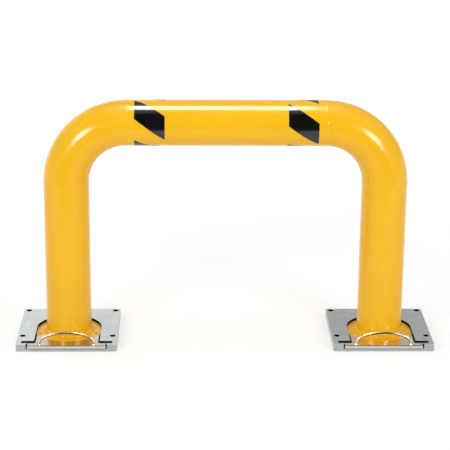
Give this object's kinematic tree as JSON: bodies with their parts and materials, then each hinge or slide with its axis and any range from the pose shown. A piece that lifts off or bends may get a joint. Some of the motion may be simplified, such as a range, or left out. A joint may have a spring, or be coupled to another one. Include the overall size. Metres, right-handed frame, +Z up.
{
  "type": "rack column guard",
  "caption": "Inverted-U steel pipe guard with hazard bands; its flanged legs slide into square floor receivers and are held there by lift-out lock plates with bowed wire handles.",
  "frame": {"origin": "on the floor under the receivers, midway between the two receivers in X and in the middle of their depth in Y", "axes": "+X runs from the left leg to the right leg, -Y is the front with the lock plates, +Z is up"},
  "size_m": [1.0542, 0.254, 0.62],
  "materials": {
    "yellow_coat": "glossy yellow powder coat on steel pipe",
    "black_film": "glossy black adhesive film",
    "galvanised_plate": "galvanised steel plate, faintly mottled",
    "zinc_lock": "smooth bright zinc plate",
    "zinc_wire": "bright zinc wire with a warm tint"
  },
  "bodies": {
    "guard": {"top_tube": "yellow_coat", "left_elbow": "yellow_coat", "right_elbow": "yellow_coat", "left_leg": "yellow_coat", "right_leg": "yellow_coat", "left_top_weld": "yellow_coat", "right_top_weld": "yellow_coat", "left_leg_weld": "yellow_coat", "right_leg_weld": "yellow_coat", "left_stripes": "black_film", "right_stripes": "black_film", "left_flange": "yellow_coat", "right_flange": "yellow_coat", "left_flange_weld": "yellow_coat", "right_flange_weld": "yellow_coat", "left_floor_plate": "galvanised_plate", "right_floor_plate": "galvanised_plate", "left_channel_plate": "galvanised_plate", "right_channel_plate": "galvanised_plate", "left_lip_plate": "galvanised_plate", "right_lip_plate": "galvanised_plate"},
    "left_lock": {"left_lock_plate": "zinc_lock", "left_lock_handle": "zinc_wire", "left_handle_welds": "zinc_wire"},
    "right_lock": {"right_lock_plate": "zinc_lock", "right_lock_handle": "zinc_wire", "right_handle_welds": "zinc_wire"}
  },
  "joints": [
    {"name": "left_lock_lift", "type": "slide", "parent": "guard", "child": "left_lock", "axis": [0, 0, 1], "range_m": [0, 0.035]},
    {"name": "right_lock_lift", "type": "slide", "parent": "guard", "child": "right_lock", "axis": [0, 0, 1], "range_m": [0, 0.035]}
  ]
}
